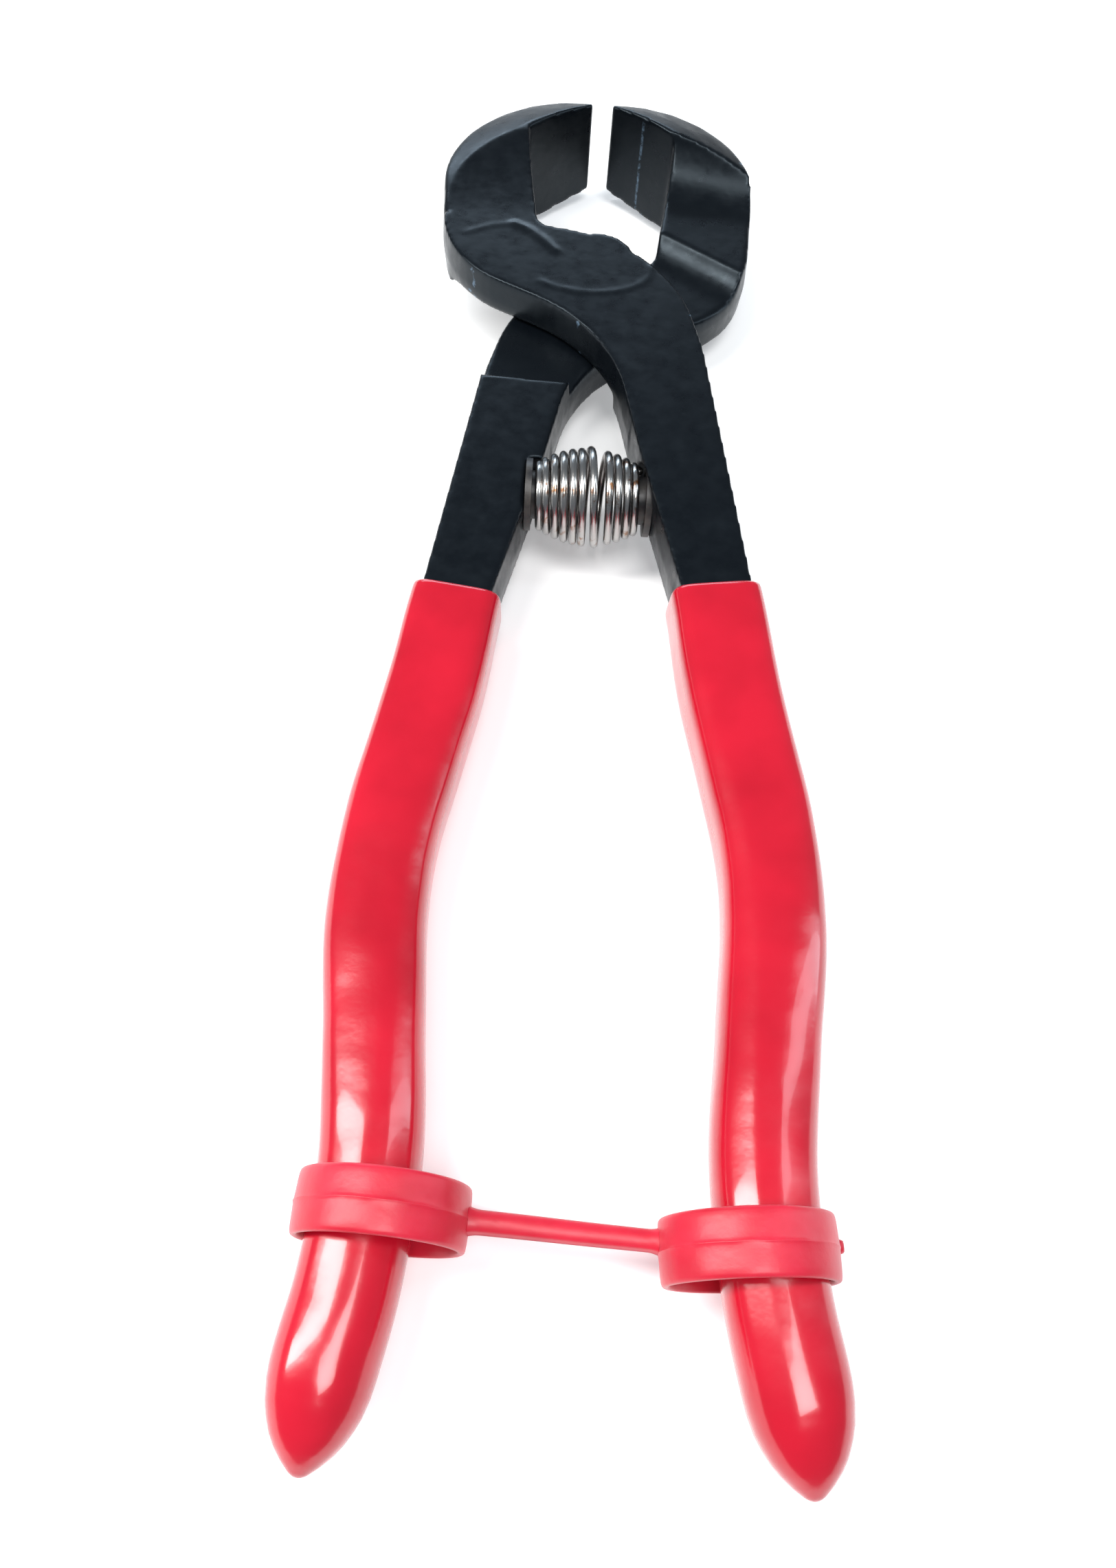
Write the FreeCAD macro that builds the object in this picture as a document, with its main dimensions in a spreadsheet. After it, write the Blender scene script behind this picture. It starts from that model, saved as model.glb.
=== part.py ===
import FreeCAD, Part
import math
import os
from FreeCAD import Placement, Rotation, Vector

# Sprung end nippers with a two-ring strap. Millimetres, +Z up along the pivot axis, +Y towards the jaws.
# The origin is on the pivot axis, at the height of the joint between the two lap plates.
# Both levers are the same forging, drawn closed with its jaw at -X and its handle at +X.
# One is swung open about the pivot, the other is turned over about Y first.

doc = FreeCAD.newDocument("pliers")
sheet = doc.addObject("Spreadsheet::Sheet", "sizes")
sheet_rows = []


def size(alias, value):
    """Keep one driving dimension in the sheet and hand back its value."""
    sheet_rows.append(alias)
    row = len(sheet_rows)
    sheet.set("A%d" % row, alias)
    sheet.set("B%d" % row, str(value))
    sheet.setAlias("B%d" % row, alias)
    return value


# Jaws and lap
jaw_reach = size("jaw_reach", 41.2)               # pivot to cutting edge
jaw_width = size("jaw_width", 20.0)               # a jaw's length along the pivot axis
edge_width = size("edge_width", 17.3)             # of that, the straight cutting edge
head_half = size("head_half", 27.8)               # closing line to the outside of a jaw
top_rise = size("top_rise", 1.0)                  # top of the head above the cutting edge
edge_gap = size("edge_gap", 0.05)                 # closing line to a closed cutting edge
dome_radius = size("dome_radius", 65.2)           # both faces of a jaw are domed
dome_height = size("dome_height", 12.3)           # top of that dome, from the joint plane
shank_thick = size("shank_thick", 9.8)            # steel of a handle, along the pivot axis
shank_offset = size("shank_offset", 2.0)          # a handle's middle from the joint plane
lap_gap = size("lap_gap", 0.3)                    # between the two lap plates
recess_end = size("recess_end", -26.4)            # where the lap ends and the handle starts
open_angle = size("open_angle", 6.5)              # between the levers at rest, degrees
# Rivet
rivet_radius = size("rivet_radius", 4.0)
rivet_head = size("rivet_head", 6.6)
rivet_head_depth = size("rivet_head_depth", 1.5)
rivet_clear = size("rivet_clear", 0.05)           # running clearance in the back lever
head_clear = size("head_clear", 0.3)
# Spring and its seats
spring_y = size("spring_y", -49.0)
spring_length = size("spring_length", 17.6)
spring_end_radius = size("spring_end_radius", 5.4)
spring_mid_radius = size("spring_mid_radius", 8.0)
spring_wire = size("spring_wire", 1.3)
spring_turns = 11
seat_clear = size("seat_clear", 0.3)              # spring to seat, and seat's rim to its pocket
seat_thick = size("seat_thick", 1.0)
seat_relief = size("seat_relief", 4.0)            # steel cleared away in front of a seat
peg_rise = size("peg_rise", 2.6)
pin_radius = size("pin_radius", 2.2)
pin_depth = size("pin_depth", 3.0)
# Grips
grip_wall = size("grip_wall", 1.1)
grip_start = size("grip_start", -70.0)
grip_slant = size("grip_slant", 2.0)              # the dip line's rise towards the jaws at the back
tip_y = size("tip_y", -188.6)
# Strap
strap_y = size("strap_y", -160.7)
strap_skew = size("strap_skew", 2.8)              # the front ring sits this much nearer its tip
ring_bore = size("ring_bore", 9.25)
ring_wall = size("ring_wall", 1.2)
ring_height = size("ring_height", 7.5)
grip_half = size("grip_half", 6.3)                # half a grip's width where its ring sits
ring_clear = size("ring_clear", 0.35)             # ring to the outer side of its grip
ring_level = size("ring_level", 1.3)              # a ring's middle from the joint plane
web_height = size("web_height", 2.5)
web_thick = size("web_thick", 2.3)
web_gap = size("web_gap", 0.3)                    # web to the back ring
doc.recompute()

ring_lag = ring_bore - grip_half - ring_clear     # a ring's middle inside its handle's middle
half_open = open_angle / 2
jaw_half = jaw_width / 2
edge_half = edge_width / 2
front_face = shank_offset + shank_thick / 2       # a lap plate's outer face
back_face = shank_offset - shank_thick / 2        # the same lever's other face, along its handle
head_top = jaw_reach + top_rise
beyond = 150.0                                    # reach of a cutting tool past the steel


def line(start, end):
    return Part.LineSegment(Vector(start[0], start[1], 0), Vector(end[0], end[1], 0))


def arc(start, middle, end):
    points = [Vector(p[0], p[1], 0) for p in (start, middle, end)]
    return Part.Arc(points[0], points[1], points[2])


def rising_arc(start, end):
    """An arc that leaves start along the first axis and climbs to end."""
    run = end[0] - start[0]
    rise = end[1] - start[1]
    radius = (run * run + rise * rise) / (2 * abs(rise))
    turn = math.asin(abs(run) / radius) / 2
    side = math.copysign(1, rise)
    middle = (start[0] + math.copysign(radius * math.sin(turn), run),
              start[1] + side * radius * (1 - math.cos(turn)))
    return arc(start, middle, end)


def rounded_outline(corners):
    """Lines and arcs round a loop of corners given as x, y and corner radius."""
    trims = []
    for index, (x, y, radius) in enumerate(corners):
        corner = Vector(x, y, 0)
        before = Vector(*corners[index - 1][:2], 0) - corner
        after = Vector(*corners[(index + 1) % len(corners)][:2], 0) - corner
        before.normalize()
        after.normalize()
        if radius == 0:
            trims.append((corner, corner, corner))
            continue
        inside = before.getAngle(after)
        back_off = radius / math.tan(inside / 2)
        bisector = before + after
        bisector.normalize()
        nearest = corner + bisector * (radius / math.sin(inside / 2) - radius)
        trims.append((corner + before * back_off, nearest, corner + after * back_off))
    geometry = []
    for index, (entry, nearest, leave) in enumerate(trims):
        if entry != leave:
            geometry.append(Part.Arc(entry, nearest, leave))
        geometry.append(Part.LineSegment(leave, trims[(index + 1) % len(trims)][0]))
    return geometry


def loop(points):
    return [line(points[i], points[(i + 1) % len(points)]) for i in range(len(points))]


def sketch(name, geometry, placement=Placement()):
    made = doc.addObject("Sketcher::SketchObject", name)
    made.Placement = placement
    made.addGeometry(geometry, False)
    return made


def extrude(name, profile, length, symmetric=True):
    made = doc.addObject("Part::Extrusion", name)
    made.Base = profile
    made.DirMode = "Normal"
    made.Solid = True
    made.LengthFwd = length
    made.Symmetric = symmetric
    return made


def combine(kind, name, base, tool):
    made = doc.addObject("Part::" + kind, name)
    made.Base = base
    made.Tool = tool
    return made


def cylinder(name, radius, height, placement):
    """Radius and height may be sheet names or formulas in them."""
    made = doc.addObject("Part::Cylinder", name)
    made.setExpression("Radius", radius)
    made.setExpression("Height", height)
    made.Placement = placement
    return made


def along(base, ridge_angle=0.0):
    """A frame whose first axis crosses a ridge, second is up, and third runs along the ridge."""
    run = Vector(math.cos(math.radians(ridge_angle)), math.sin(math.radians(ridge_angle)), 0)
    across = Vector(-run.y, run.x, 0)
    turn = Rotation(across, Vector(0, 0, 1), run, "ZXY")
    return Placement(Vector(base[0], base[1], 0), turn)


# One forging, drawn closed

handle_end = -72.0
head_outline = rounded_outline([
    (-edge_gap, jaw_reach, 0),
    (-2.2, head_top, 0),
    (-head_half, head_top, 21.0),
    (-head_half + 0.7, -0.8, 20.0),
    (1.4, -17.2, 29.0),
    (5.1, -43.8, 60.0),
    (10.1, handle_end, 0),
    (20.8, handle_end, 0),
    (17.1, -21.5, 40.0),
    (12.4, 4.1, 28.0),
    (-10.4, 8.75, 3.0),
    (-12.0, 32.0, 1.5),
])

# How the front face rises from the lap to the jaw, across the pivot line
front_scoop = [
    line((-beyond, front_face), (11.4, front_face)),
    rising_arc((11.4, front_face), (31.0, jaw_half)),
    line((31.0, jaw_half), (31.0, jaw_half + 5)),
    line((31.0, jaw_half + 5), (-beyond, jaw_half + 5)),
    line((-beyond, jaw_half + 5), (-beyond, front_face)),
]
# The other face of the jaw climbs more steeply, from a flat level with the handle's back
back_scoop = [
    line((-beyond, back_face), (0, back_face)),
    rising_arc((0, back_face), (11.0, -jaw_half)),
    line((11.0, -jaw_half), (11.0, -jaw_half - 5)),
    line((11.0, -jaw_half - 5), (-beyond, -jaw_half - 5)),
    line((-beyond, -jaw_half - 5), (-beyond, back_face)),
]
# The milled recess that takes the other lever's lap plate
half_gap = lap_gap / 2
recess_scoop = [
    line((-beyond, half_gap), (0, half_gap)),
    rising_arc((0, half_gap), (6.1, back_face)),
    line((6.1, back_face), (6.1, -jaw_half - 5)),
    line((6.1, -jaw_half - 5), (-beyond, -jaw_half - 5)),
    line((-beyond, -jaw_half - 5), (-beyond, half_gap)),
]
# Both faces of the jaw seen from its top, with the ends of the cutting edge eased off
side = head_half + 5
crown_edge = -3.5
dome_middle = (-1.1, 19.85)
crown = []
for sign in (1, -1):
    crown += [
        line((side, sign * edge_half), (0, sign * edge_half)),
        line((0, sign * edge_half), (crown_edge, sign * jaw_half)),
        line((crown_edge, sign * jaw_half), (-side, sign * jaw_half)),
    ]
crown.append(line((-side, jaw_half), (-side, -jaw_half)))
crown.append(line((side, -edge_half), (side, edge_half)))

# Stations down a grip: middle x and y, width, and how square its section is
grip_stations = [
    (14.6, -62.0, 13.2, 0.5),
    (15.6, -72.0, 13.8, 0.5),
    (16.6, -88.0, 13.9, 0.62),
    (19.2, -110.0, 13.4, 0.8),
    (19.2, -124.0, 13.4, 0.88),
    (16.9, -139.0, 13.1, 0.93),
    (14.8, -154.0, 12.6, 0.96),
    (15.1, -168.0, 12.4, 0.96),
    (16.4, -179.0, 12.0, 0.96),
]
tip_stations = [(16.95, tip_y + 4.6, 9.6, 0.97), (17.15, tip_y + 1.3, 5.2, 0.98), (17.2, tip_y, 2.0, 0.98)]
grip_thick = shank_thick + 2 * grip_wall


def section(name, station, heading, inset):
    """A rounded square across a handle."""
    x, y, width, roundness = station
    wide = width / 2 - inset
    tall = min(grip_thick, width * 1.06) / 2 - inset
    radius = roundness * min(wide, tall)
    profile = rounded_outline([(wide, tall, radius), (-wide, tall, radius),
                               (-wide, -tall, radius), (wide, -tall, radius)])
    turn = Rotation(Vector(0, 0, 1).cross(heading), Vector(0, 0, 1), heading, "ZXY")
    return sketch(name, profile, Placement(Vector(x, y, shank_offset), turn))


def lofted(name, stations, inset):
    sections = []
    for index, station in enumerate(stations):
        ahead = stations[min(index + 1, len(stations) - 1)]
        behind = stations[max(index - 1, 0)]
        heading = Vector(ahead[0] - behind[0], ahead[1] - behind[1], 0)
        heading.normalize()
        sections.append(section("%s_section_%d" % (name, index), station, heading, inset))
    made = doc.addObject("Part::Loft", name)
    made.Sections = sections
    made.Solid = True
    made.Ruled = False
    return made


def dome(name, level):
    """A ball that leaves one face of a jaw domed, and rounds it down to the outline."""
    made = doc.addObject("Part::Sphere", name)
    made.setExpression("Radius", "sizes.dome_radius")
    made.Placement = Placement(Vector(dome_middle[0], dome_middle[1], level), Rotation())
    return made


def open_out(flip):
    """The placement that carries a closed forging to its lever's place at rest."""
    swing = Placement(Vector(), Rotation(Vector(0, 0, 1), half_open))
    if not flip:
        return swing
    return Placement(Vector(), Rotation(Vector(0, 1, 0), 180)).multiply(swing)


def forging(name):
    body = doc.addObject("PartDesign::Body", name + "_blank")
    outline = body.newObject("Sketcher::SketchObject", name + "_outline")
    plane = [f for f in body.Origin.OriginFeatures if f.Role == "XY_Plane"][0]
    outline.AttachmentSupport = [(plane, "")]
    outline.MapMode = "FlatFace"
    outline.addGeometry(head_outline, False)
    pad = body.newObject("PartDesign::Pad", name + "_pad")
    pad.Profile = outline
    pad.Midplane = True
    pad.setExpression("Length", "sizes.jaw_width")
    doc.recompute()

    crown_tool = extrude(name + "_crown", sketch(name + "_crown_profile", crown, Placement(
        Vector(), Rotation(Vector(1, 0, 0), Vector(0, 0, 1), Vector(0, -1, 0), "ZXY"))), 2 * beyond)
    shaped = combine("Common", name + "_crowned", body, crown_tool)
    lens = combine("Common", name + "_lens", dome(name + "_front_dome", dome_height - dome_radius),
                   dome(name + "_back_dome", dome_radius - dome_height))
    jaw_zone = doc.addObject("Part::Box", name + "_jaw_zone")
    jaw_zone.Length = beyond
    jaw_zone.Width = beyond
    jaw_zone.Height = 4 * jaw_width
    jaw_zone.Placement = Placement(Vector(-beyond, 11.4, -2 * jaw_width), Rotation())
    outside = combine("Cut", name + "_outside_dome", jaw_zone, lens)
    shaped = combine("Cut", name + "_domed", shaped, outside)
    front = extrude(name + "_front_scoop", sketch(name + "_front_profile", front_scoop, along((0, 0))), beyond)
    shaped = combine("Cut", name + "_fronted", shaped, front)
    back = extrude(name + "_back_scoop", sketch(name + "_back_profile", back_scoop,
                                                along((-18.2, 19.9), 13.0)), beyond)
    shaped = combine("Cut", name + "_backed", shaped, back)
    mill = extrude(name + "_mill", sketch(name + "_mill_profile", recess_scoop,
                                          along((-18.0, 2.8), 30.0)), beyond)
    lap_zone = doc.addObject("Part::Box", name + "_lap_zone")
    lap_zone.Length = 2 * beyond
    lap_zone.Width = beyond
    lap_zone.Height = 2 * jaw_width
    lap_zone.Placement = Placement(Vector(-beyond, recess_end, -jaw_width), Rotation())
    lap_zone.setExpression("Placement.Base.y", "sizes.recess_end")
    recess = combine("Common", name + "_recess", mill, lap_zone)
    shaped = combine("Cut", name + "_lapped", shaped, recess)
    doc.recompute()
    return shaped


def turned(name, base, placement):
    """A moved copy that still follows its source."""
    made = doc.addObject("Part::Compound", name)
    made.Links = [base]
    made.Placement = placement
    return made


def lever(side_name, flip):
    """A forging with its tang, rivet holes and spring seat pocket, in its place at rest."""
    blank = forging(side_name)
    tang = lofted(side_name + "_tang", grip_stations[1:] + tip_stations[:2], grip_wall)
    steel = combine("Fuse", side_name + "_steel", blank, tang)
    swung = turned(side_name + "_swung", steel, open_out(flip))
    hand = -1 if flip else 1
    shank_hole = cylinder(side_name + "_hole", "sizes.rivet_radius + %d * sizes.rivet_clear" % flip,
                          "2 * sizes.jaw_width", Placement(Vector(0, 0, -jaw_width), Rotation()))
    head_radius = "sizes.rivet_head + %d * sizes.head_clear" % flip
    counterbore = cylinder(side_name + "_counterbore", head_radius, "sizes.jaw_width", Placement(
        Vector(0, 0, front_face - rivet_head_depth - flip * head_clear), Rotation()))
    if flip:
        counterbore.Placement = Placement(Vector(0, 0, -front_face + rivet_head_depth + head_clear),
                                          Rotation(Vector(1, 0, 0), 180))
    inward = Rotation(Vector(0, 0, 1), Vector(hand, 0, 0))
    pocket = cylinder(side_name + "_pocket", "sizes.spring_end_radius + 2 * sizes.seat_clear",
                      "sizes.seat_thick", Placement(Vector(hand * seat_face, spring_y, 0), inward))
    relief = cylinder(side_name + "_relief", "sizes.spring_end_radius + 2 * sizes.seat_clear",
                      "sizes.seat_relief",
                      Placement(Vector(hand * (seat_face - seat_relief), spring_y, 0), inward))
    pin_hole = cylinder(side_name + "_pin_hole", "sizes.pin_radius", "sizes.seat_thick + sizes.pin_depth",
                        Placement(Vector(hand * seat_face, spring_y, 0), inward))
    holes = doc.addObject("Part::MultiFuse", side_name + "_holes")
    holes.Shapes = [shank_hole, counterbore, pocket, relief, pin_hole]
    node = combine("Cut", side_name + "_lever", swung, holes)
    doc.recompute()
    return node


def grip(side_name, flip, lever_node):
    """A dipped sleeve over the tang, its mouth slanted towards the jaws at the back."""
    coat = lofted(side_name + "_coat", grip_stations + tip_stations, 0.0)
    swung = turned(side_name + "_dip_swung", coat, open_out(flip))
    hollow = combine("Cut", side_name + "_sleeve", swung, lever_node)
    level = -shank_offset if flip else shank_offset
    slope = grip_slant / shank_thick
    high = level + beyond
    low = level - beyond
    mouth = extrude(side_name + "_mouth", sketch(side_name + "_mouth_profile", loop([
        (grip_start - slope * beyond, high), (beyond, high), (beyond, low), (grip_start + slope * beyond, low),
    ]), along((0, 0))), 2 * beyond)
    node = combine("Cut", side_name + "_grip", hollow, mouth)
    doc.recompute()
    return node


seat_face = spring_length / 2 + seat_clear


def seat(side_name, hand):
    """A flanged peg pressed into a handle, with the spring's end coil round it."""
    inward = Rotation(Vector(0, 0, 1), Vector(hand, 0, 0))
    flange = cylinder(side_name + "_flange", "sizes.spring_end_radius + sizes.seat_clear", "sizes.seat_thick",
                      Placement(Vector(hand * seat_face, spring_y, 0), inward))
    peg = cylinder(side_name + "_peg", "sizes.spring_end_radius - sizes.spring_wire - sizes.seat_clear",
                   "sizes.peg_rise + sizes.seat_thick / 2",
                   Placement(Vector(hand * (seat_face - peg_rise), spring_y, 0), inward))
    pin = cylinder(side_name + "_pin", "sizes.pin_radius", "sizes.pin_depth + sizes.seat_thick",
                   Placement(Vector(hand * seat_face, spring_y, 0), inward))
    node = doc.addObject("Part::MultiFuse", side_name + "_spring_seat")
    node.Shapes = [flange, peg, pin]
    return node


front_lever = lever("front", 0)
back_lever = lever("back", 1)
front_grip = grip("front", 0, front_lever)
back_grip = grip("back", 1, back_lever)
front_seat = seat("front", 1)
back_seat = seat("back", -1)

# Rivet: fast in the front lever, with running clearance in the back one
rivet_shank = cylinder("rivet_shank", "sizes.rivet_radius", "2 * sizes.shank_offset + sizes.shank_thick",
                       Placement(Vector(0, 0, -front_face), Rotation()))
rivet_heads = [
    cylinder("rivet_front_head", "sizes.rivet_head", "sizes.rivet_head_depth",
             Placement(Vector(0, 0, front_face - rivet_head_depth), Rotation())),
    cylinder("rivet_back_head", "sizes.rivet_head", "sizes.rivet_head_depth",
             Placement(Vector(0, 0, -front_face), Rotation())),
]
pivot_rivet = doc.addObject("Part::MultiFuse", "pivot_rivet")
pivot_rivet.Shapes = [rivet_shank] + rivet_heads


def barrel_spring():
    """A helix along X whose coils swell towards the middle, with its ends closed up."""
    steps = 16 * spring_turns
    middle_radius = spring_mid_radius - spring_wire / 2
    end_radius = spring_end_radius - spring_wire / 2
    travel = spring_length - spring_wire
    points = []
    for step in range(steps + 1):
        along_it = step / steps
        swell = math.sin(math.pi * along_it)
        radius = end_radius + (middle_radius - end_radius) * swell
        turn = 2 * math.pi * spring_turns * along_it
        points.append(Vector(travel * (along_it - 0.5), spring_y + radius * math.cos(turn),
                             radius * math.sin(turn)))
    curve = Part.BSplineCurve()
    curve.interpolate(points)
    path = Part.Wire(curve.toShape())
    start = curve.value(curve.FirstParameter)
    heading = curve.tangent(curve.FirstParameter)[0]
    rim = Part.Wire(Part.makeCircle(spring_wire / 2 * 0.95, start, heading))
    return path.makePipeShell([rim], True, True)


return_spring = doc.addObject("Part::Feature", "return_spring")
return_spring.Shape = barrel_spring()

# Strap: a ring round each grip and a web between them
handle_middle = 14.9


def ring_place(flip):
    """A ring's middle and the way its handle runs there, at rest."""
    swing = open_out(flip)
    place = strap_y if flip else strap_y - strap_skew
    middle = swing.multVec(Vector(handle_middle, place, 0))
    heading = swing.Rotation.multVec(Vector(0, 1, 0))
    middle.x -= math.copysign(ring_lag, middle.x)
    middle.z = -ring_level if flip else ring_level
    return middle, Rotation(Vector(0, 0, 1), heading)


def ring_part(name, flip, radius, height):
    middle, turn = ring_place(flip)
    shift = Placement(middle, turn).multiply(Placement(Vector(0, 0, -height[1] / 2), Rotation()))
    return cylinder(name, radius, height[0], shift)


def ring(side_name, flip):
    outside = ring_part(side_name + "_ring_outside", flip, "sizes.ring_bore + sizes.ring_wall",
                        ("sizes.ring_height", ring_height))
    bore = ring_part(side_name + "_ring_bore", flip, "sizes.ring_bore",
                     ("3 * sizes.ring_height", 3 * ring_height))
    return combine("Cut", side_name + "_ring", outside, bore)


front_ring = ring("front", 0)
back_ring = ring("back", 1)
back_middle = ring_place(1)[0]
web_run = ring_place(0)[0] - back_middle
web_turn = Rotation(web_run, Vector(0, 1, 0), Vector(), "XZY")
web_bar = doc.addObject("Part::Box", "web_bar")
web_bar.Length = web_run.Length
web_bar.setExpression("Width", "sizes.web_thick")
web_bar.setExpression("Height", "sizes.web_height")
web_bar.Placement = Placement(back_middle, web_turn).multiply(
    Placement(Vector(0, -web_thick / 2, -web_height / 2), Rotation()))
web_ends = doc.addObject("Part::MultiFuse", "web_ends")
web_ends.Shapes = [
    ring_part("web_front_end", 0, "sizes.ring_bore + sizes.ring_wall", ("3 * sizes.ring_height", 3 * ring_height)),
    ring_part("web_back_end", 1, "sizes.ring_bore + sizes.ring_wall + sizes.web_gap",
              ("3 * sizes.ring_height", 3 * ring_height)),
]
strap_web = combine("Cut", "strap_web", web_bar, web_ends)
doc.recompute()

nodes = [front_lever, back_lever, pivot_rivet, return_spring, front_grip, back_grip,
         front_seat, back_seat, front_ring, back_ring, strap_web]
for item in doc.Objects:
    if "Invalid" in item.State or "Error" in item.State:
        raise RuntimeError(item.Name + " did not build")
os.makedirs("parts", exist_ok=True)
for node in nodes:
    node.Label = node.Name
    shape = node.Shape
    if shape.isNull() or not shape.isValid() or not shape.Solids:
        raise RuntimeError(node.Name + " is not a closed solid")
    box = shape.optimalBoundingBox()
    print("%-18s solids %d volume %.0f x %.1f..%.1f y %.1f..%.1f z %.1f..%.1f" % (
        node.Name, len(shape.Solids), shape.Volume, box.XMin, box.XMax, box.YMin, box.YMax, box.ZMin, box.ZMax))
    shape.exportStep("parts/%s.step" % node.Label)
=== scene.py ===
import math

import bmesh
import bpy
import numpy as np
from mathutils import Matrix, Vector, noise


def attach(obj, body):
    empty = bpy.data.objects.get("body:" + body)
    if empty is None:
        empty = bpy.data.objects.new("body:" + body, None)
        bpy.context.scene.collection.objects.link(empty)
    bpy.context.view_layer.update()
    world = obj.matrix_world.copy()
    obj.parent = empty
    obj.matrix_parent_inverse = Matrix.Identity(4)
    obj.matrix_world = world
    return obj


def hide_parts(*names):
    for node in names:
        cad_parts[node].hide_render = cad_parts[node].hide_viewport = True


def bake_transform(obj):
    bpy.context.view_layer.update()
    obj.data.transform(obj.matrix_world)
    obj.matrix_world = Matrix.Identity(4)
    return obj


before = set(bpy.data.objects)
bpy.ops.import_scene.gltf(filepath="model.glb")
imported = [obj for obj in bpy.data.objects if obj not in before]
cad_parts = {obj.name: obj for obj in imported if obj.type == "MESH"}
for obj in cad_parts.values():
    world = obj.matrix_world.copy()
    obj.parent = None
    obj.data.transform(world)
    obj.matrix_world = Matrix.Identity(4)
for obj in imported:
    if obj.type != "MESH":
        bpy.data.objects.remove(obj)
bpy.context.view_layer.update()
print("frame loaded")

mm = 0.001
view = bpy.context.scene.view_settings
view.view_transform = "Standard"
halfOpen = math.radians(3.25)     # each lever's swing at rest


def addMesh(name, verts, faces):
    mesh = bpy.data.meshes.new(name)
    mesh.from_pydata([tuple(v) for v in verts], [], faces)
    mesh.update()
    piece = bpy.data.objects.new(name, mesh)
    bpy.context.scene.collection.objects.link(piece)
    for face in mesh.polygons:
        face.use_smooth = True
    return piece


def skinRings(name, rings, closed=False):
    # rings is a list of equal-length loops of points; neighbours are joined with quads
    count = len(rings[0])
    verts = [point for ring in rings for point in ring]
    faces = []
    spans = len(rings) if closed else len(rings) - 1
    for i in range(spans):
        a = i * count
        b = ((i + 1) % len(rings)) * count
        for j in range(count):
            k = (j + 1) % count
            faces.append((a + j, a + k, b + k, b + j))
    if not closed:
        faces.append(tuple(reversed(range(count))))
        faces.append(tuple(range((len(rings) - 1) * count, len(rings) * count)))
    return addMesh(name, verts, faces)


def bakeModifiers(piece):
    evaluated = piece.evaluated_get(bpy.context.evaluated_depsgraph_get())
    baked = bpy.data.meshes.new_from_object(evaluated)
    piece.modifiers.clear()
    piece.data = baked
    for face in baked.polygons:
        face.use_smooth = True


def smoothCurve(points, samples):
    # Catmull-Rom through the points, evenly in parameter
    pts = [np.array(p, float) for p in points]
    pts = [2 * pts[0] - pts[1]] + pts + [2 * pts[-1] - pts[-2]]
    out = []
    spans = len(pts) - 3
    for i in range(samples + 1):
        t = i / samples * spans
        k = min(int(t), spans - 1)
        u = t - k
        a, b, c, d = pts[k:k + 4]
        out.append(0.5 * (2 * b + (c - a) * u + (2 * a - 5 * b + 4 * c - d) * u ** 2
                          + (3 * b - a - 3 * c + d) * u ** 3))
    return out


def placeAtRest(point, back):
    # a point drawn with the tool shut, carried to its lever's place with the tool open
    x, y, z = point
    turned = Vector((x * math.cos(halfOpen) - y * math.sin(halfOpen),
                     x * math.sin(halfOpen) + y * math.cos(halfOpen), z))
    if back:
        turned = Vector((-turned.x, turned.y, -turned.z))
    return turned * mm


def newFinish(name, values):
    finish = bpy.data.materials.new(name)
    finish.use_nodes = True
    tree = finish.node_tree
    shader = tree.nodes["Principled BSDF"]
    for socket, value in values.items():
        shader.inputs[socket].default_value = value
    return finish, tree, shader


def addNoise(tree, scale, detail, rough):
    node = tree.nodes.new("ShaderNodeTexNoise")
    node.inputs["Scale"].default_value = scale
    node.inputs["Detail"].default_value = detail
    node.inputs["Roughness"].default_value = rough
    coords = tree.nodes.new("ShaderNodeTexCoord")
    tree.links.new(coords.outputs["Object"], node.inputs["Vector"])
    return node


def addRamp(tree, source, stops):
    node = tree.nodes.new("ShaderNodeValToRGB")
    ramp = node.color_ramp
    while len(ramp.elements) < len(stops):
        ramp.elements.new(0.5)
    for element, (place, colour) in zip(ramp.elements, stops):
        element.position = place
        element.color = (*colour, 1)
    tree.links.new(source, node.inputs["Fac"])
    return node


def addBump(tree, shader, height, strength, distance, under=None):
    node = tree.nodes.new("ShaderNodeBump")
    node.inputs["Strength"].default_value = strength
    node.inputs["Distance"].default_value = distance
    tree.links.new(height, node.inputs["Height"])
    if under is not None:
        tree.links.new(under.outputs["Normal"], node.inputs["Normal"])
    tree.links.new(node.outputs["Normal"], shader.inputs["Normal"])
    return node


enamel = {
    "colour": (0.0022, 0.0032, 0.0048),
    # light-blue on sharp edges: partly paint worn through, partly a painted highlight standing in for
    # the rims' reflections
    "wornAndHighlight": (0.13, 0.2, 0.28),
    "gloss": 0.26,
    "dulling": 0.16,        # added to the gloss where dust lies
    "wearAndHighlightStart": 0.57,      # how sharp an edge has to be before it wears and takes the painted light-blue highlight
    "wearAndHighlightFull": 0.65,
    "specular": 0.27,
    "specularTint": (0.72, 0.88, 1.0, 1),
    "forgeScale": 210,
    "peelScale": 1500,
}


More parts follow.
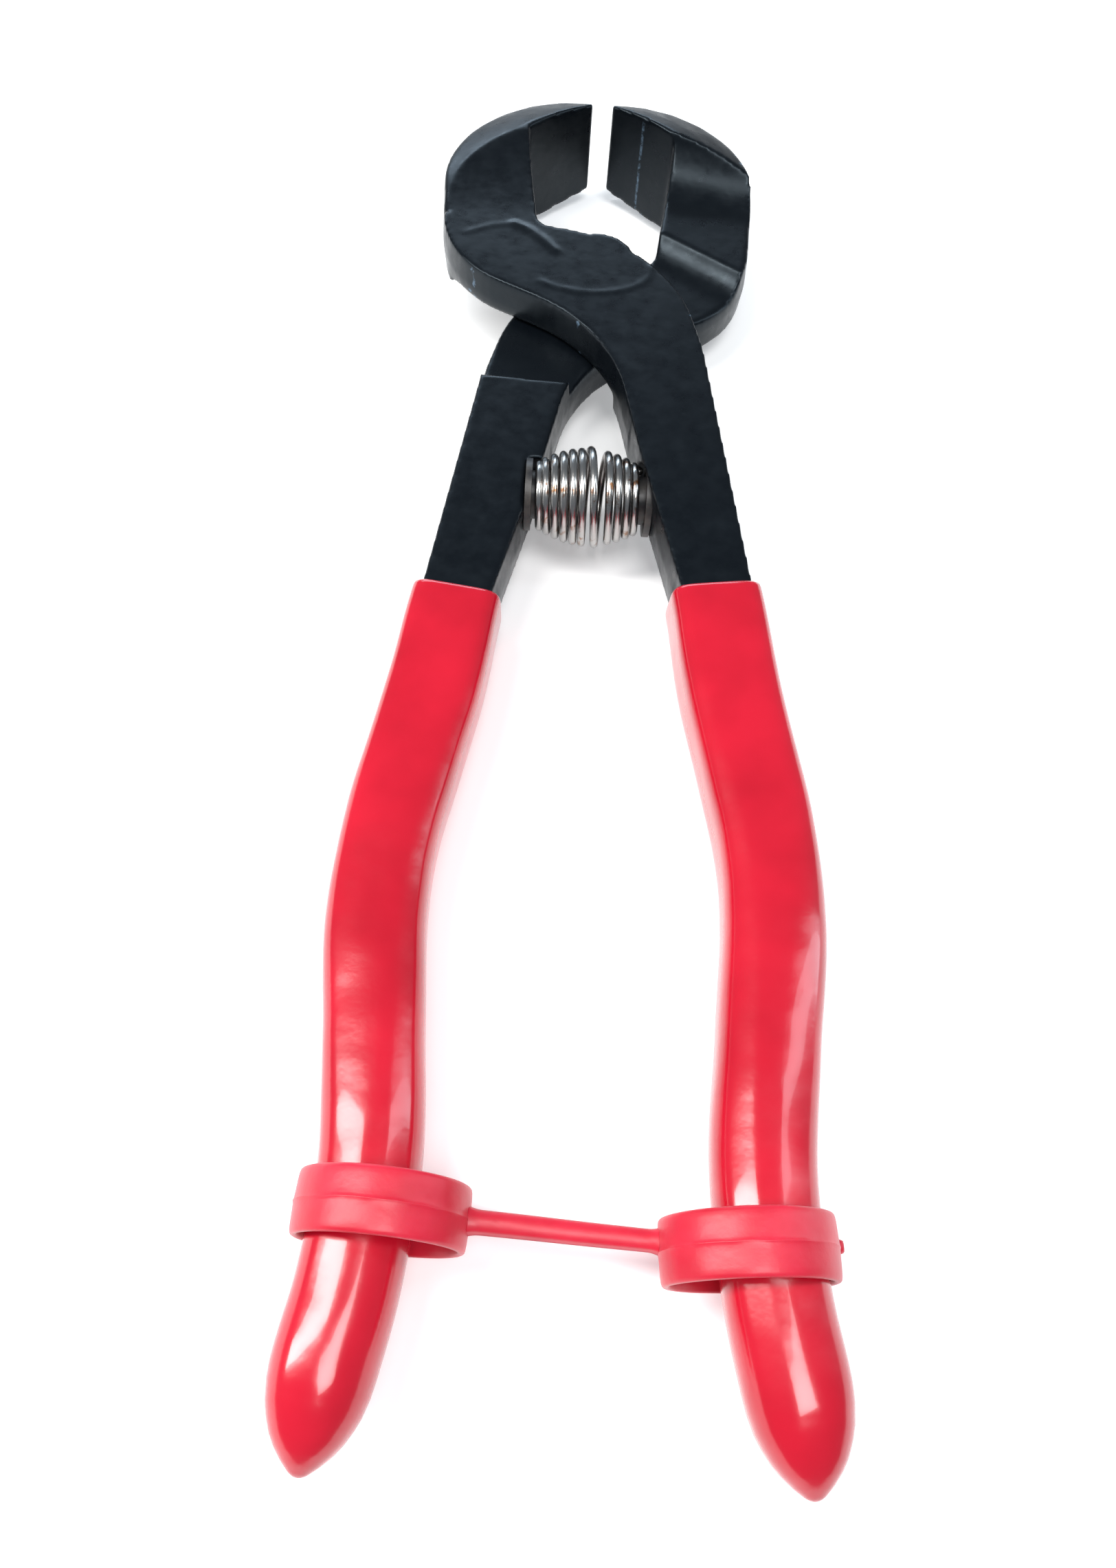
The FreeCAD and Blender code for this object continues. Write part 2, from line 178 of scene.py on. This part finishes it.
def makeEnamel():
    finish, tree, shader = newFinish("blackEnamel", {
        "Specular IOR Level": enamel["specular"],
        "Specular Tint": enamel["specularTint"],
    })
    geometry = tree.nodes.new("ShaderNodeNewGeometry")
    # sharp edges take the light-blue colour, broken up by noise: paint wear and a painted edge
    # highlight
    wearAndHighlight = addRamp(tree, geometry.outputs["Pointiness"],
                   [(enamel["wearAndHighlightStart"], (0, 0, 0)), (enamel["wearAndHighlightFull"], (1, 1, 1))])
    breakUp = addNoise(tree, 900, 4, 0.7)
    patch = addRamp(tree, breakUp.outputs["Fac"], [(0.42, (0, 0, 0)), (0.6, (1, 1, 1))])
    amount = tree.nodes.new("ShaderNodeMath")
    amount.operation = "MULTIPLY"
    tree.links.new(wearAndHighlight.outputs["Color"], amount.inputs[0])
    tree.links.new(patch.outputs["Color"], amount.inputs[1])
    mix = tree.nodes.new("ShaderNodeMix")
    mix.data_type = "RGBA"
    mix.inputs["A"].default_value = (*enamel["colour"], 1)
    mix.inputs["B"].default_value = (*enamel["wornAndHighlight"], 1)
    tree.links.new(amount.outputs["Value"], mix.inputs["Factor"])
    tree.links.new(mix.outputs["Result"], shader.inputs["Base Color"])
    dust = addNoise(tree, 330, 5, 0.6)
    dull = enamel["gloss"] + enamel["dulling"]
    rough = addRamp(tree, dust.outputs["Fac"], [(0.35, (enamel["gloss"],) * 3), (0.75, (dull,) * 3)])
    tree.links.new(rough.outputs["Color"], shader.inputs["Roughness"])
    forged = addNoise(tree, enamel["forgeScale"], 2, 0.5)
    peel = addNoise(tree, enamel["peelScale"], 2, 0.5)
    low = addBump(tree, shader, forged.outputs["Fac"], 0.22, 0.0004)
    addBump(tree, shader, peel.outputs["Fac"], 0.06, 0.0001, low)
    return finish


dip = {
    "colour": (0.56, 0.006, 0.024),
    "deep": (0.44, 0.003, 0.016),
    "roughness": 0.2,
    "coat": 0.4,
}


def makeDip():
    finish, tree, shader = newFinish("dippedRed", {
        "Roughness": dip["roughness"],
        "Coat Weight": dip["coat"],
        "Coat Roughness": 0.05,
        "Subsurface Weight": 0.08,
        "Subsurface Radius": (0.0016, 0.0004, 0.0004),
    })
    tint = addNoise(tree, 60, 3, 0.5)
    colour = addRamp(tree, tint.outputs["Fac"], [(0.3, dip["deep"]), (0.62, dip["colour"])])
    tree.links.new(colour.outputs["Color"], shader.inputs["Base Color"])
    lumps = addNoise(tree, 95, 2, 0.4)
    skin = addNoise(tree, 1300, 2, 0.5)
    low = addBump(tree, shader, lumps.outputs["Fac"], 0.4, 0.0009)
    addBump(tree, shader, skin.outputs["Fac"], 0.1, 0.0001, low)
    return finish


strapFinish = {
    "colour": (0.55, 0.009, 0.03),
    "pale": (0.66, 0.017, 0.048),
    "roughness": 0.38,
}


def makeStrapRed():
    finish, tree, shader = newFinish("mouldedRed", {
        "Roughness": strapFinish["roughness"],
        "Subsurface Weight": 0.35,
        "Subsurface Radius": (0.003, 0.0006, 0.0006),
        "Sheen Weight": 0.08,
    })
    tint = addNoise(tree, 140, 3, 0.5)
    colour = addRamp(tree, tint.outputs["Fac"],
                     [(0.35, strapFinish["colour"]), (0.7, strapFinish["pale"])])
    tree.links.new(colour.outputs["Color"], shader.inputs["Base Color"])
    grain = addNoise(tree, 1800, 3, 0.6)
    flow = addNoise(tree, 260, 2, 0.5)
    low = addBump(tree, shader, flow.outputs["Fac"], 0.25, 0.0004)
    addBump(tree, shader, grain.outputs["Fac"], 0.2, 0.00008, low)
    return finish


wireFinish = {
    "colour": (0.42, 0.41, 0.40),
    "stain": (0.20, 0.085, 0.03),
    "roughness": 0.24,
}


def makeWire():
    finish, tree, shader = newFinish("drawnWire", {
        "Metallic": 1.0,
        "Roughness": wireFinish["roughness"],
    })
    spots = addNoise(tree, 420, 5, 0.7)
    stain = addRamp(tree, spots.outputs["Fac"],
                    [(0.56, wireFinish["colour"]), (0.68, wireFinish["stain"])])
    tree.links.new(stain.outputs["Color"], shader.inputs["Base Color"])
    draw = addNoise(tree, 2600, 2, 0.5)
    addBump(tree, shader, draw.outputs["Fac"], 0.12, 0.00006)
    return finish


seatFinish = {
    "colour": (0.012, 0.012, 0.014),
    "pale": (0.05, 0.045, 0.04),
    "roughness": 0.42,
}


def makeSeatFinish():
    finish, tree, shader = newFinish("darkPeg", {"Roughness": seatFinish["roughness"]})
    tint = addNoise(tree, 500, 3, 0.5)
    colour = addRamp(tree, tint.outputs["Fac"],
                     [(0.35, seatFinish["colour"]), (0.7, seatFinish["pale"])])
    tree.links.new(colour.outputs["Color"], shader.inputs["Base Color"])
    grit = addNoise(tree, 1700, 2, 0.5)
    addBump(tree, shader, grit.outputs["Fac"], 0.2, 0.0001)
    return finish


finishes = {
    "black_enamel": makeEnamel(),
    "red_dip": makeDip(),
    "red_strap": makeStrapRed(),
    "spring_steel": makeWire(),
    "seat_steel": makeSeatFinish(),
}


def dress(piece, slotName):
    piece.data.materials.clear()
    piece.data.materials.append(finishes[slotName])


forging = {
    "voxel": 0.43 * mm,
    "softening": 5,         # rounds of smoothing, which set the edges' radius
    "keptFaces": 0.6,
    "beads": [              # raised trimming lines on the flat: points, width and height, in mm
        ([(-14.6, 8.6), (-12.4, 7.4), (-9.6, 4.6), (-7.4, 1.6)], 0.7, 0.3),
        ([(-23.0, 6.0), (-18.5, 8.0), (-14.6, 8.6)], 0.5, 0.1),
        ([(-10.3, -6.2), (-6.6, -8.0), (-1.0, -8.9), (4.4, -8.0), (8.4, -5.4), (9.6, -1.6)], 0.5, 0.13),
    ],
    "beadZone": ((-5, 2), 24),      # middle and radius of the ground the beads lie on
    "flatTop": 12,          # the flat ends here, towards the jaws
    "flatHeight": 5.5,
    "draft": 0.075,         # how the walls lean in from the parting line
    "partingHeight": 2.4,   # mm over the joint plane, on the front lever
    "partingBulge": 0.3,    # mm
    "partingFall": (12, 16),    # where that line starts down to the joint plane, and over how far
    "rivetClear": 10,       # no draft this near the rivet
    "gripClear": -69,       # nor under the grip
    "throatClear": (15, 6),     # nor between the jaws: half width and start
    "seatClear": (-56, -38, 13),    # nor at the spring: its ends and half width
    "edgeKeep": 0.85,       # extra steel on the cutting edges for the smoothing to take
    "edgeFade": 3.5,
    "edgeStart": 26,
    "keenStart": 28,        # the jaws' tips are smoothed less
    "keenHalf": 14.5,
    "keenSoftness": 0.3,
}


def readVectors(source, key, count):
    values = np.empty(count * 3, "f")
    source.foreach_get(key, values)
    return values.reshape(-1, 3)


def makeForging(name, nodes, back):
    # the rivet is ground flush and painted over, so it is one skin with the front lever
    bm = bmesh.new()
    for node in nodes:
        bm.from_mesh(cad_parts[node].data)
    mesh = bpy.data.meshes.new(name)
    bm.to_mesh(mesh)
    bm.free()
    piece = bpy.data.objects.new(name, mesh)
    bpy.context.scene.collection.objects.link(piece)
    piece.matrix_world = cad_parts[nodes[0]].matrix_world
    remesh = piece.modifiers.new("even", "REMESH")
    remesh.mode = "VOXEL"
    remesh.voxel_size = forging["voxel"]
    bakeModifiers(piece)
    piece.data.transform(piece.matrix_world)
    piece.matrix_world = Matrix.Identity(4)
    count = len(piece.data.vertices)
    co = readVectors(piece.data.vertices, "co", count).astype(float) / mm
    normal = readVectors(piece.data.vertex_normals, "vector", count)
    flip = -1 if back else 1
    x, y, z = co[:, 0] * flip, co[:, 1], co[:, 2] * flip      # as if it were the front lever
    up = normal[:, 2] * flip
    # walls lean in from a parting line, except round the rivet, in the jaws and under the grip
    wall = np.clip(1 - np.abs(up) * 2.2, 0, 1)
    throatHalf, throatStart = forging["throatClear"]
    wall *= (np.hypot(x, y) > forging["rivetClear"]) & (y > forging["gripClear"])
    wall *= ~((np.abs(x) < throatHalf) & (y > throatStart))
    seatLow, seatHigh, seatHalf = forging["seatClear"]
    wall *= ~((y < seatHigh) & (y > seatLow) & (np.abs(x) < seatHalf))
    fallStart, fallLength = forging["partingFall"]
    middle = forging["partingHeight"] * np.clip(1 - (y - fallStart) / fallLength, 0, 1)
    lean = (forging["partingBulge"] - forging["draft"] * np.abs(z - middle)) * wall
    co[:, :2] += normal[:, :2] * lean[:, None]
    # beads left on the flat by the trimming tool
    face = (up > 0.6) & (z > forging["flatHeight"]) & (y < forging["flatTop"])
    (zoneX, zoneY), zoneRadius = forging["beadZone"]
    near = np.flatnonzero(face & (np.hypot(x - zoneX, y - zoneY) < zoneRadius))
    for bead, width, height in forging["beads"]:
        spots = smoothCurve([(a, b, 0) for a, b in bead], 90)
        spots = np.array([placeAtRest(p, False) for p in spots])[:, :2] / mm
        gap = np.hypot(x[near][:, None] - spots[:, 0], y[near][:, None] - spots[:, 1]).min(axis=1)
        co[near, 2] += height * np.exp(-(gap / width) ** 2) * flip
    # the softening below eats into the cutting edges, so they start a little proud
    shut = x * math.cos(halfOpen) + y * math.sin(halfOpen)      # distance from the closing line
    proud = forging["edgeKeep"] * np.exp(-(shut / forging["edgeFade"]) ** 2)
    proud *= (y > forging["edgeStart"]) & (x < 2)
    co[:, 0] += proud * flip
    piece.data.vertices.foreach_set("co", (co * mm).astype("f").ravel())
    keen = (y > forging["keenStart"]) & (np.abs(x) < forging["keenHalf"])
    group = piece.vertex_groups.new(name="soft")
    group.add([int(v) for v in np.flatnonzero(~keen)], 1.0, "REPLACE")
    group.add([int(v) for v in np.flatnonzero(keen)], forging["keenSoftness"], "REPLACE")
    soften = piece.modifiers.new("soft", "SMOOTH")
    soften.factor = 0.5
    soften.iterations = forging["softening"]
    soften.vertex_group = "soft"
    thin = piece.modifiers.new("thin", "DECIMATE")
    thin.decimate_type = "COLLAPSE"
    thin.ratio = forging["keptFaces"]
    bakeModifiers(piece)
    dress(piece, "black_enamel")
    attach(piece, "back_side" if back else "front_side")
    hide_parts(*nodes)


makeForging("frontForging", ["front_lever", "pivot_rivet"], False)
makeForging("backForging", ["back_lever"], True)
print("levers done")


grip = {
    "stations": [(15.1, -67.0), (15.7, -74.0), (16.6, -88.0), (19.1, -110.0), (19.1, -124.0),
                 (16.9, -139.0), (14.8, -154.0), (15.0, -168.0), (16.3, -178.5), (17.1, -188.3)],
    "widths": [13.7, 13.8, 13.9, 13.4, 13.4, 13.1, 12.6, 12.4, 12.1, 10.0],
    "squareness": [6.0, 5.4, 4.6, 3.6, 3.0, 2.7, 2.35, 2.3, 2.2, 2.1],
    "thickness": 12.0,
    "level": 2.0,           # the grip's middle from the joint plane
    "mouth": -70.0,
    "slant": 0.2,           # the mouth's rise towards the jaws, per mm down the thickness
    "slantFade": 14,        # the slant is gone this far from the mouth
    "lip": [(0, 1.02), (0.03, 0.62), (0.22, 0.25), (0.55, 0.06), (1.0, 0.0)],   # distance, inset
    "tipLength": 12.5,
    # from the end, as a share of the tip, and the width there
    "tipDistance": [0, 0.008, 0.03, 0.1, 0.2, 0.3, 0.42, 0.53, 0.7, 0.85, 1],
    "tipWidth": [0.03, 0.1, 0.18, 0.35, 0.54, 0.68, 0.8, 0.885, 0.96, 0.99, 1],
    "bodySteps": 96,
    "tipSteps": 26,
    "sides": 56,
    "wander": (0.12, 0.08),     # unevenness of the dip, across and in depth
}


def makeGrip(name, node, back):
    count = 170
    path = smoothCurve([(x, y, 0) for x, y in grip["stations"]], count)
    shape = smoothCurve([(w, s, 0) for w, s in zip(grip["widths"], grip["squareness"])], count)
    lengths = [0.0]
    for a, b in zip(path, path[1:]):
        lengths.append(lengths[-1] + float(np.linalg.norm(b - a)))
    total = lengths[-1]
    start = next(l for p, l in zip(path, lengths) if p[1] <= grip["mouth"])

    def at(distance):
        distance = min(max(distance, 0), total)
        values = []
        for table in (path, shape):
            columns = ([row[k] for row in table] for k in range(3))
            values.append([float(np.interp(distance, lengths, column)) for column in columns])
        return values

    # each stop is a distance along the grip and how far its skin is drawn in;
    # below nought it is a share of the blunt end
    stops = [(start + distance, inset) for distance, inset in grip["lip"]]
    steps, tipSteps, tip = grip["bodySteps"], grip["tipSteps"], grip["tipLength"]
    for i in range(1, steps + 1):
        stops.append((start + 1.0 + (total - tip - start - 1.0) * i / steps, 0.0))
    for i in range(1, tipSteps + 1):
        stops.append((total - tip + tip * math.sin(math.pi / 2 * i / tipSteps), -i / tipSteps))
    # the mouth leans the same way on both grips, whichever face is in front
    slant = -grip["slant"] if back else grip["slant"]
    acrossWander, deepWander = grip["wander"]
    rings = []
    for distance, inset in stops:
        (x, y, _), (width, square, _) = at(distance)
        (xb, yb, _), _ = at(distance - 0.5)
        (xa, ya, _), _ = at(distance + 0.5)
        heading = Vector((xa - xb, ya - yb, 0)).normalized()
        across = Vector((-heading.y, heading.x, 0))
        if inset < 0:
            _, (width, square, _) = at(total - tip)
            run = math.sin(math.pi / 2 * -inset)
            shrink = float(np.interp(1 - run, grip["tipDistance"], grip["tipWidth"]))
            halfWide = width / 2 * shrink
            halfTall = min(grip["thickness"], width * 1.02) / 2 * shrink
        else:
            halfWide = width / 2 - inset
            halfTall = min(grip["thickness"], width * 1.03) / 2 - inset
        ring = []
        for s in range(grip["sides"]):
            angle = 2 * math.pi * s / grip["sides"]
            c, d = math.cos(angle), math.sin(angle)
            reach = (abs(c / halfWide) ** square + abs(d / halfTall) ** square) ** (-1 / square)
            high = reach * d
            lean = slant * high * max(0.0, 1 - (distance - start) / grip["slantFade"])
            point = Vector((x, y, grip["level"])) + across * (reach * c)
            point = point + Vector((0, 0, high)) - Vector((0, lean, 0))
            bulge = acrossWander * noise.noise(point * 0.09)
            point += across * bulge + Vector((0, 0, deepWander * noise.noise(point * 0.11)))
            ring.append(placeAtRest(point, back))
        rings.append(ring)
    if back:
        rings = [list(reversed(ring)) for ring in rings]
    piece = skinRings(name, rings)
    dress(piece, "red_dip")
    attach(piece, "back_side" if back else "front_side")
    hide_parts(node)


makeGrip("frontDip", "front_grip", False)
makeGrip("backDip", "back_grip", True)
print("grips done")


spring = {
    "y": -49.0,
    "reach": 8.1,           # middle of the first coil to the middle of the spring
    "wire": 1.3,
    "endRadius": 4.72,
    "middleRadius": 7.2,
    "pitches": [0.9, 1.32, 1.36, 1.38, 1.36, 1.34, 2.6, 1.4, 1.36, 1.3, 0.98],
    "startTurn": 0.6,       # where the wire starts round the coil, in radians
    "fullness": 0.85,       # under 1 fattens the barrel towards its ends
    "proudTurn": 6.2,       # one coil stands out a little
    "proudSpan": 0.35,
    "proud": 0.35,
    "perTurn": 36,
    "sides": 14,
}


def makeSpring():
    turns = len(spring["pitches"])
    scale = 2 * spring["reach"] / sum(spring["pitches"])
    marks = [0.0]
    for pitch in spring["pitches"]:
        marks.append(marks[-1] + pitch * scale)
    total = turns * spring["perTurn"]
    centres = []
    for i in range(total + 1):
        turn = i / spring["perTurn"]
        x = float(np.interp(turn, range(turns + 1), marks)) - spring["reach"]
        swell = math.sin(math.pi * (x + spring["reach"]) / (2 * spring["reach"])) ** spring["fullness"]
        radius = spring["endRadius"] + (spring["middleRadius"] - spring["endRadius"]) * swell
        radius += spring["proud"] * math.exp(-((turn - spring["proudTurn"]) / spring["proudSpan"]) ** 2)
        angle = 2 * math.pi * turn + spring["startTurn"]
        centres.append(Vector((x, spring["y"] + radius * math.cos(angle), radius * math.sin(angle))))
    half = spring["wire"] / 2
    rings = []
    for i, centre in enumerate(centres):
        ahead = centres[min(i + 1, total)]
        behind = centres[max(i - 1, 0)]
        heading = (ahead - behind).normalized()
        outward = Vector((0, centre.y - spring["y"], centre.z)).normalized()
        sideways = heading.cross(outward).normalized()
        outward = sideways.cross(heading)
        ring = []
        for s in range(spring["sides"]):
            angle = 2 * math.pi * s / spring["sides"]
            point = centre + outward * (half * math.cos(angle)) + sideways * (half * math.sin(angle))
            ring.append(point * mm)
        rings.append(ring)
    piece = skinRings("coiledWire", rings)
    dress(piece, "spring_steel")
    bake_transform(piece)
    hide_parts("return_spring")


makeSpring()
print("spring done")


strap = {
    "frontMiddle": (14.9, -163.5),
    "backMiddle": (14.9, -160.7),
    "lag": 2.6,             # a ring's middle inside its handle's middle
    "level": 1.3,           # and from the joint plane
    "inner": 9.25,
    "outer": 10.45,
    "height": 7.5,
    "parting": 0.1,         # how proud the moulding's parting line stands
    "waviness": 0.09,
    "webTall": 2.9,
    "webThick": 2.4,
    "webSag": 0.12,
    "webFlare": 0.2,        # how much thicker the web is where it joins a ring
}


def ringFrame(back):
    middle = placeAtRest((*strap["backMiddle" if back else "frontMiddle"], 0), back)
    heading = (placeAtRest((0, 1, 0), back)).normalized()
    middle.x -= math.copysign(strap["lag"] * mm, middle.x)
    middle.z = (-1 if back else 1) * strap["level"] * mm
    return middle, heading


def makeRing(name, node, back):
    middle, heading = ringFrame(back)
    outward = Vector((0, 0, 1)).cross(heading).normalized()
    upward = heading.cross(outward).normalized()
    i, o, h = strap["inner"], strap["outer"], strap["height"] / 2
    proud = o + strap["parting"]
    profile = [(i + 0.06, -h + 0.4), (i + 0.2, -h + 0.1), (i + 0.55, -h), (o - 0.3, -h + 0.08),
               (o - 0.1, -h + 0.35), (o - 0.04, -h * 0.5), (o, -0.16), (proud, -0.05),
               (proud, 0.05), (o, 0.16), (o - 0.04, h * 0.5), (o - 0.1, h - 0.35),
               (o - 0.3, h - 0.08), (i + 0.55, h), (i + 0.2, h - 0.1), (i + 0.06, h - 0.4), (i, 0.0)]
    segments = 120
    rings = []
    for s in range(segments):
        angle = 2 * math.pi * s / segments
        ring = []
        for radius, along in profile:
            out = Vector((math.cos(angle) * 2, math.sin(angle) * 2, 3 if back else 0))
            radius += strap["waviness"] * noise.noise(out)
            if abs(along) < 0.1:
                along += 0.16 * noise.noise(out * 2.3)
                radius += 0.06 * noise.noise(out * 4.1)
            ring.append(middle + (outward * math.cos(angle) + upward * math.sin(angle)) * (radius * mm)
                        + heading * (along * mm))
        rings.append(ring)
    piece = skinRings(name, rings, closed=True)
    piece.modifiers.new("rounder", "SUBSURF").levels = 1
    bakeModifiers(piece)
    dress(piece, "red_strap")
    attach(piece, "strap_back" if back else "strap_front")
    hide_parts(node)


def makeNub():
    # the moulding's gate, left as a short stub on the front ring
    middle, heading = ringFrame(False)
    outward = Vector((1, 0, 0))
    outward = (outward - heading * outward.dot(heading)).normalized()
    upward = heading.cross(outward).normalized()
    rings = []
    for reach, half in ((-0.4, 0.95), (0.35, 0.8), (0.62, 0.7), (0.68, 0.45)):
        ring = []
        for s in range(16):
            angle = 2 * math.pi * s / 16
            c, d = math.cos(angle), math.sin(angle)
            flat = (abs(c) ** 4 + abs(d) ** 4) ** -0.25
            ring.append(middle + outward * ((strap["outer"] + reach) * mm)
                        + heading * ((0.3 + c * flat * half) * mm)
                        + upward * (d * flat * half * 1.3 * mm))
        rings.append(ring)
    piece = skinRings("gateStub", rings)
    dress(piece, "red_strap")
    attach(piece, "strap_front")


def makeWeb():
    frontMiddle, _ = ringFrame(False)
    backMiddle, _ = ringFrame(True)
    run = frontMiddle - backMiddle
    length = run.length
    heading = run.normalized()
    across = Vector((0, 1, 0))
    across = (across - heading * across.dot(heading)).normalized()
    upward = heading.cross(across).normalized()
    outer = strap["outer"] * mm
    first, last = outer - 0.35 * mm, length - outer + 0.35 * mm
    outline = [(1.0, 0.1), (0.94, 0.72), (0.72, 0.96), (0, 1.0), (-0.72, 0.96), (-0.94, 0.72),
               (-1.0, 0.1), (-1.08, 0.0), (-1.0, -0.1), (-0.86, -0.8), (-0.6, -0.98), (0, -1.0),
               (0.6, -0.98), (0.86, -0.8), (1.0, -0.1), (1.08, 0.0)]
    rings = []
    steps = 60
    for i in range(steps + 1):
        t = i / steps
        place = first + (last - first) * t
        end = min(t, 1 - t) * (last - first) / mm
        flare = 1 + strap["webFlare"] * math.exp(-(end / 0.8) ** 2) + 0.12 * (1 - t)
        sag = strap["webSag"] * math.sin(math.pi * t) * math.sin(7 * t)
        centre = backMiddle + heading * place + upward * (sag * mm)
        ring = []
        for a, b in outline:
            ring.append(centre + across * (a * strap["webThick"] / 2 * flare * mm)
                        + upward * (b * strap["webTall"] / 2 * (0.5 + flare / 2) * mm))
        rings.append(ring)
    piece = skinRings("strapWeb", rings)
    dress(piece, "red_strap")
    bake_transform(piece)
    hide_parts("strap_web")


makeRing("frontStrapRing", "front_ring", False)
makeNub()
makeRing("backStrapRing", "back_ring", True)
makeWeb()
print("strap done")

for node in ("front_spring_seat", "back_spring_seat"):
    dress(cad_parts[node], "seat_steel")
print("spring seats done")


stageLook = {
    "floor": -11.95,        # height in mm, just under the rings
    "tone": 0.88,
    "glow": 0.3,
    "world": (0.82, 0.91, 1.0),
    "worldStrength": 0.26,
}

# name, place, what it faces, width, height, watts, colour
lamps = [
    ("key", (-0.42, -0.1, 0.5), (0, -0.05, 0), 0.12, 0.7, 5.2, (1, 0.99, 0.97)),
    ("overhead", (0.1, -0.3, 0.75), (0, -0.05, 0), 0.35, 0.3, 3.4, (1, 1, 1)),
    ("fill", (0.45, 0.0, 0.3), (0, -0.05, 0), 0.07, 0.7, 0.9, (0.84, 0.93, 1)),
    ("window", (-0.12, 0.62, 0.24), (0, 0, 0), 0.5, 0.18, 1.4, (0.7, 0.85, 1)),
]

cameraLook = {
    "place": (-5.25, -179.6, 146.4),    # mm
    "lens": 27.04,
    "swing": -0.25,         # degrees round the upright axis
    "right": (0.9982, 0.0424, 0.0422),
    "backward": (-0.0174, -0.4697, 0.8827),
}


def makeFloor():
    bm = bmesh.new()
    bmesh.ops.create_grid(bm, x_segments=1, y_segments=1, size=3)
    mesh = bpy.data.meshes.new("floor")
    bm.to_mesh(mesh)
    bm.free()
    floor = bpy.data.objects.new("floor", mesh)
    bpy.context.scene.collection.objects.link(floor)
    floor.location = (0, 0, stageLook["floor"] * mm)
    paper, _, _ = newFinish("palePaper", {
        "Base Color": (stageLook["tone"],) * 3 + (1,),
        "Roughness": 0.9,
        "Specular IOR Level": 0.1,
        "Emission Color": (1, 1, 1, 1),
        "Emission Strength": stageLook["glow"],
    })
    floor.data.materials.append(paper)


def addLamp(name, place, target, wide, tall, power, colour):
    light = bpy.data.lights.new(name, "AREA")
    light.shape = "RECTANGLE"
    light.size = wide
    light.size_y = tall
    light.energy = power
    light.color = colour
    holder = bpy.data.objects.new(name, light)
    holder.location = place
    holder.rotation_euler = (Vector(target) - Vector(place)).to_track_quat("-Z", "Y").to_euler()
    bpy.context.scene.collection.objects.link(holder)


makeFloor()
world = bpy.data.worlds.new("studio")
bpy.context.scene.world = world
world.use_nodes = True
sky = world.node_tree.nodes["Background"]
sky.inputs["Color"].default_value = (*stageLook["world"], 1)
sky.inputs["Strength"].default_value = stageLook["worldStrength"]
for lamp in lamps:
    addLamp(*lamp)

camera = bpy.data.cameras.new("camera")
camera.lens = cameraLook["lens"]
camera.sensor_width = 36
camera.clip_start = 0.01
cameraHolder = bpy.data.objects.new("camera", camera)
right = Vector(cameraLook["right"])
backward = Vector(cameraLook["backward"]).normalized()
right = (right - backward * right.dot(backward)).normalized()
up = backward.cross(right)
turn = Matrix((right, up, backward)).transposed().to_4x4()
swing = Matrix.Rotation(math.radians(cameraLook["swing"]), 4, "Z")
cameraHolder.matrix_world = swing @ Matrix.Translation(Vector(cameraLook["place"]) * mm) @ turn
bpy.context.scene.collection.objects.link(cameraHolder)
bpy.context.scene.camera = cameraHolder
print("stage done")

bpy.context.view_layer.update()
